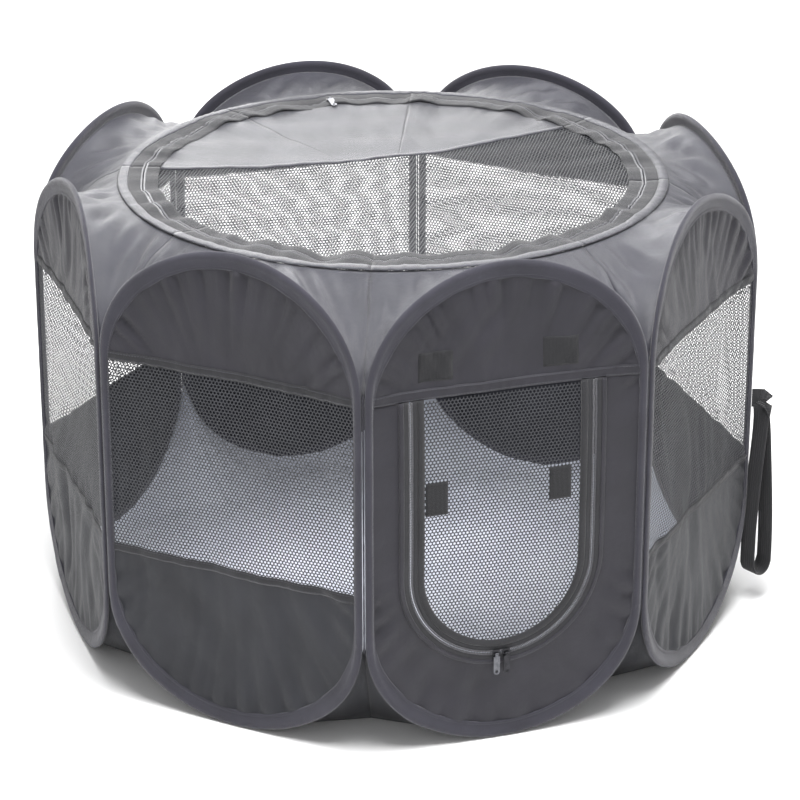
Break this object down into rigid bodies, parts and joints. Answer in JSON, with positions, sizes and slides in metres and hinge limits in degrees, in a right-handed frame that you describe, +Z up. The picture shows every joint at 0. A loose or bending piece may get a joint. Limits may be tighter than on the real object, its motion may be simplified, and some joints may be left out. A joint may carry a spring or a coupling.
{
  "type": "pet playpen",
  "caption": "Pop-up octagonal pet playpen of spring-hoop cloth and mesh panels, with a zipped mesh door, a roof ring with a zip-on mesh cover, and a cloth floor.",
  "frame": {"origin": "on the ground under the middle of the pen", "axes": "+Z up, -Y out through the door panel, +X to the right seen from the door"},
  "size_m": [0.8925, 0.8645, 0.61],
  "materials": {
    "spring_steel": "flat-rolled spring steel wire, joined by a crimped ferrule",
    "binding_tape": "folded polyester binding with a stitched inner edge",
    "oxford_cloth": "plain-weave oxford polyester, charcoal, slight sheen",
    "roof_cloth": "plain-weave oxford polyester, charcoal, slight sheen",
    "floor_cloth": "coated oxford polyester, light grey-blue inside face",
    "mesh": "black knitted hexagonal mesh, about 5 mm pitch",
    "zip_tape": "woven zip tape with a nylon coil",
    "zip_metal": "dark lacquered die casting",
    "hook_and_loop": "hook-and-loop tape, black",
    "webbing": "black polyester webbing"
  },
  "bodies": {
    "panel_front": {"hoop_front": "spring_steel", "binding_front": "binding_tape", "roof_front": "roof_cloth", "floor_front": "floor_cloth", "cloth_front_upper": "oxford_cloth", "door_surround": "oxford_cloth", "door_frame_zip": "zip_tape", "panel_patches": "hook_and_loop"},
    "panel_front_right": {"hoop_front_right": "spring_steel", "binding_front_right": "binding_tape", "roof_front_right": "roof_cloth", "floor_front_right": "floor_cloth", "cloth_front_right": "oxford_cloth", "mesh_front_right": "mesh"},
    "panel_right": {"hoop_right": "spring_steel", "binding_right": "binding_tape", "roof_right": "roof_cloth", "floor_right": "floor_cloth", "cloth_right": "oxford_cloth", "mesh_right": "mesh"},
    "panel_back_right": {"hoop_back_right": "spring_steel", "binding_back_right": "binding_tape", "roof_back_right": "roof_cloth", "floor_back_right": "floor_cloth", "cloth_back_right": "oxford_cloth", "mesh_back_right": "mesh"},
    "panel_back": {"hoop_back": "spring_steel", "binding_back": "binding_tape", "roof_back": "roof_cloth", "floor_back": "floor_cloth", "cloth_back": "oxford_cloth", "mesh_back": "mesh"},
    "panel_back_left": {"hoop_back_left": "spring_steel", "binding_back_left": "binding_tape", "roof_back_left": "roof_cloth", "floor_back_left": "floor_cloth", "cloth_back_left": "oxford_cloth", "mesh_back_left": "mesh"},
    "panel_left": {"hoop_left": "spring_steel", "binding_left": "binding_tape", "roof_left": "roof_cloth", "floor_left": "floor_cloth", "cloth_left": "oxford_cloth", "mesh_left": "mesh"},
    "panel_front_left": {"hoop_front_left": "spring_steel", "binding_front_left": "binding_tape", "roof_front_left": "roof_cloth", "floor_front_left": "floor_cloth", "cloth_front_left": "oxford_cloth", "mesh_front_left": "mesh"},
    "door": {"door_mesh": "mesh", "door_zip": "zip_tape", "door_patches": "hook_and_loop"},
    "door_slider_left": {"door_slider_left": "zip_metal"},
    "door_slider_right": {"door_slider_right": "zip_metal"},
    "door_pull_left": {"door_pull_left": "zip_metal"},
    "door_pull_right": {"door_pull_right": "zip_metal"},
    "roof_slider": {"roof_slider": "zip_metal"},
    "roof_pull": {"roof_pull": "zip_metal"},
    "carry_loop": {"carry_loop": "webbing"}
  },
  "joints": [
    {"name": "fold", "type": "hinge", "parent": "panel_front_right", "child": "panel_right", "pos_m": [0.42369, -0.1755, 0.305], "axis": [0, 0, 1], "range_deg": [0, 126], "deforming": ["roof_front", "floor_front", "roof_front_right", "floor_front_right", "roof_right", "floor_right", "roof_back_right", "floor_back_right", "roof_back", "floor_back", "roof_back_left", "floor_back_left", "roof_left", "floor_left", "roof_front_left", "floor_front_left", "roof_slider", "roof_pull"]},
    {"name": "seam_front", "type": "hinge", "parent": "panel_front", "child": "panel_front_right", "pos_m": [0.1755, -0.42369, 0.305], "axis": [0, 0, 1], "range_deg": [-42, 0]},
    {"name": "seam_right", "type": "hinge", "parent": "panel_right", "child": "panel_back_right", "pos_m": [0.42369, 0.1755, 0.305], "axis": [0, 0, 1], "range_deg": [-42, 0]},
    {"name": "seam_back_right", "type": "hinge", "parent": "panel_back_right", "child": "panel_back", "pos_m": [0.1755, 0.42369, 0.305], "axis": [0, 0, 1], "range_deg": [-42, 0]},
    {"name": "seam_back_left", "type": "hinge", "parent": "panel_back", "child": "panel_back_left", "pos_m": [-0.1755, 0.42369, 0.305], "axis": [0, 0, 1], "range_deg": [-42, 0]},
    {"name": "seam_front_left", "type": "hinge", "parent": "panel_front", "child": "panel_front_left", "pos_m": [-0.1755, -0.42369, 0.305], "axis": [0, 0, 1], "range_deg": [0, 42]},
    {"name": "seam_left", "type": "hinge", "parent": "panel_front_left", "child": "panel_left", "pos_m": [-0.42369, -0.1755, 0.305], "axis": [0, 0, 1], "range_deg": [0, 42]},
    {"name": "door_lift", "type": "hinge", "parent": "panel_front", "child": "door", "pos_m": [-0.005, -0.42929, 0.455], "axis": [-1, 0, 0], "range_deg": [0, 165]},
    {"name": "door_zip_left", "type": "hinge", "parent": "door", "child": "door_slider_left", "pos_m": [-0.005, -0.42369, 0.228], "axis": [0, 1, 0], "range_deg": [0, 84]},
    {"name": "door_pull_swing_left", "type": "hinge", "parent": "door_slider_left", "child": "door_pull_left", "pos_m": [-0.01156, -0.43209, 0.11419], "axis": [-1, 0, 0], "range_deg": [0, 150]},
    {"name": "door_zip_right", "type": "hinge", "parent": "door", "child": "door_slider_right", "pos_m": [-0.005, -0.42369, 0.228], "axis": [0, -1, 0], "range_deg": [0, 84]},
    {"name": "door_pull_swing_right", "type": "hinge", "parent": "door_slider_right", "child": "door_pull_right", "pos_m": [0.00156, -0.43209, 0.11419], "axis": [-1, 0, 0], "range_deg": [0, 150]},
    {"name": "roof_zip", "type": "hinge", "parent": "panel_back", "child": "roof_slider", "pos_m": [0, 0, 0.58], "axis": [0, 0, 1], "range_deg": [-18, 20]},
    {"name": "roof_pull_swing", "type": "hinge", "parent": "roof_slider", "child": "roof_pull", "pos_m": [0.01321, 0.31512, 0.5849], "axis": [-0.9991, 0.0419, 0], "range_deg": [0, 150]},
    {"name": "loop_swing", "type": "hinge", "parent": "panel_front_right", "child": "carry_loop", "pos_m": [0.43004, -0.17813, 0.3], "axis": [-0.3827, -0.9239, 0], "range_deg": [0, 90]}
  ],
  "couplings": [
    {"joint": "seam_front", "follows": "fold", "ratio": -0.33333},
    {"joint": "seam_right", "follows": "fold", "ratio": -0.33333},
    {"joint": "seam_back_right", "follows": "fold", "ratio": -0.33333},
    {"joint": "seam_back_left", "follows": "fold", "ratio": -0.33333},
    {"joint": "seam_front_left", "follows": "fold", "ratio": 0.33333},
    {"joint": "seam_left", "follows": "fold", "ratio": 0.33333}
  ]
}
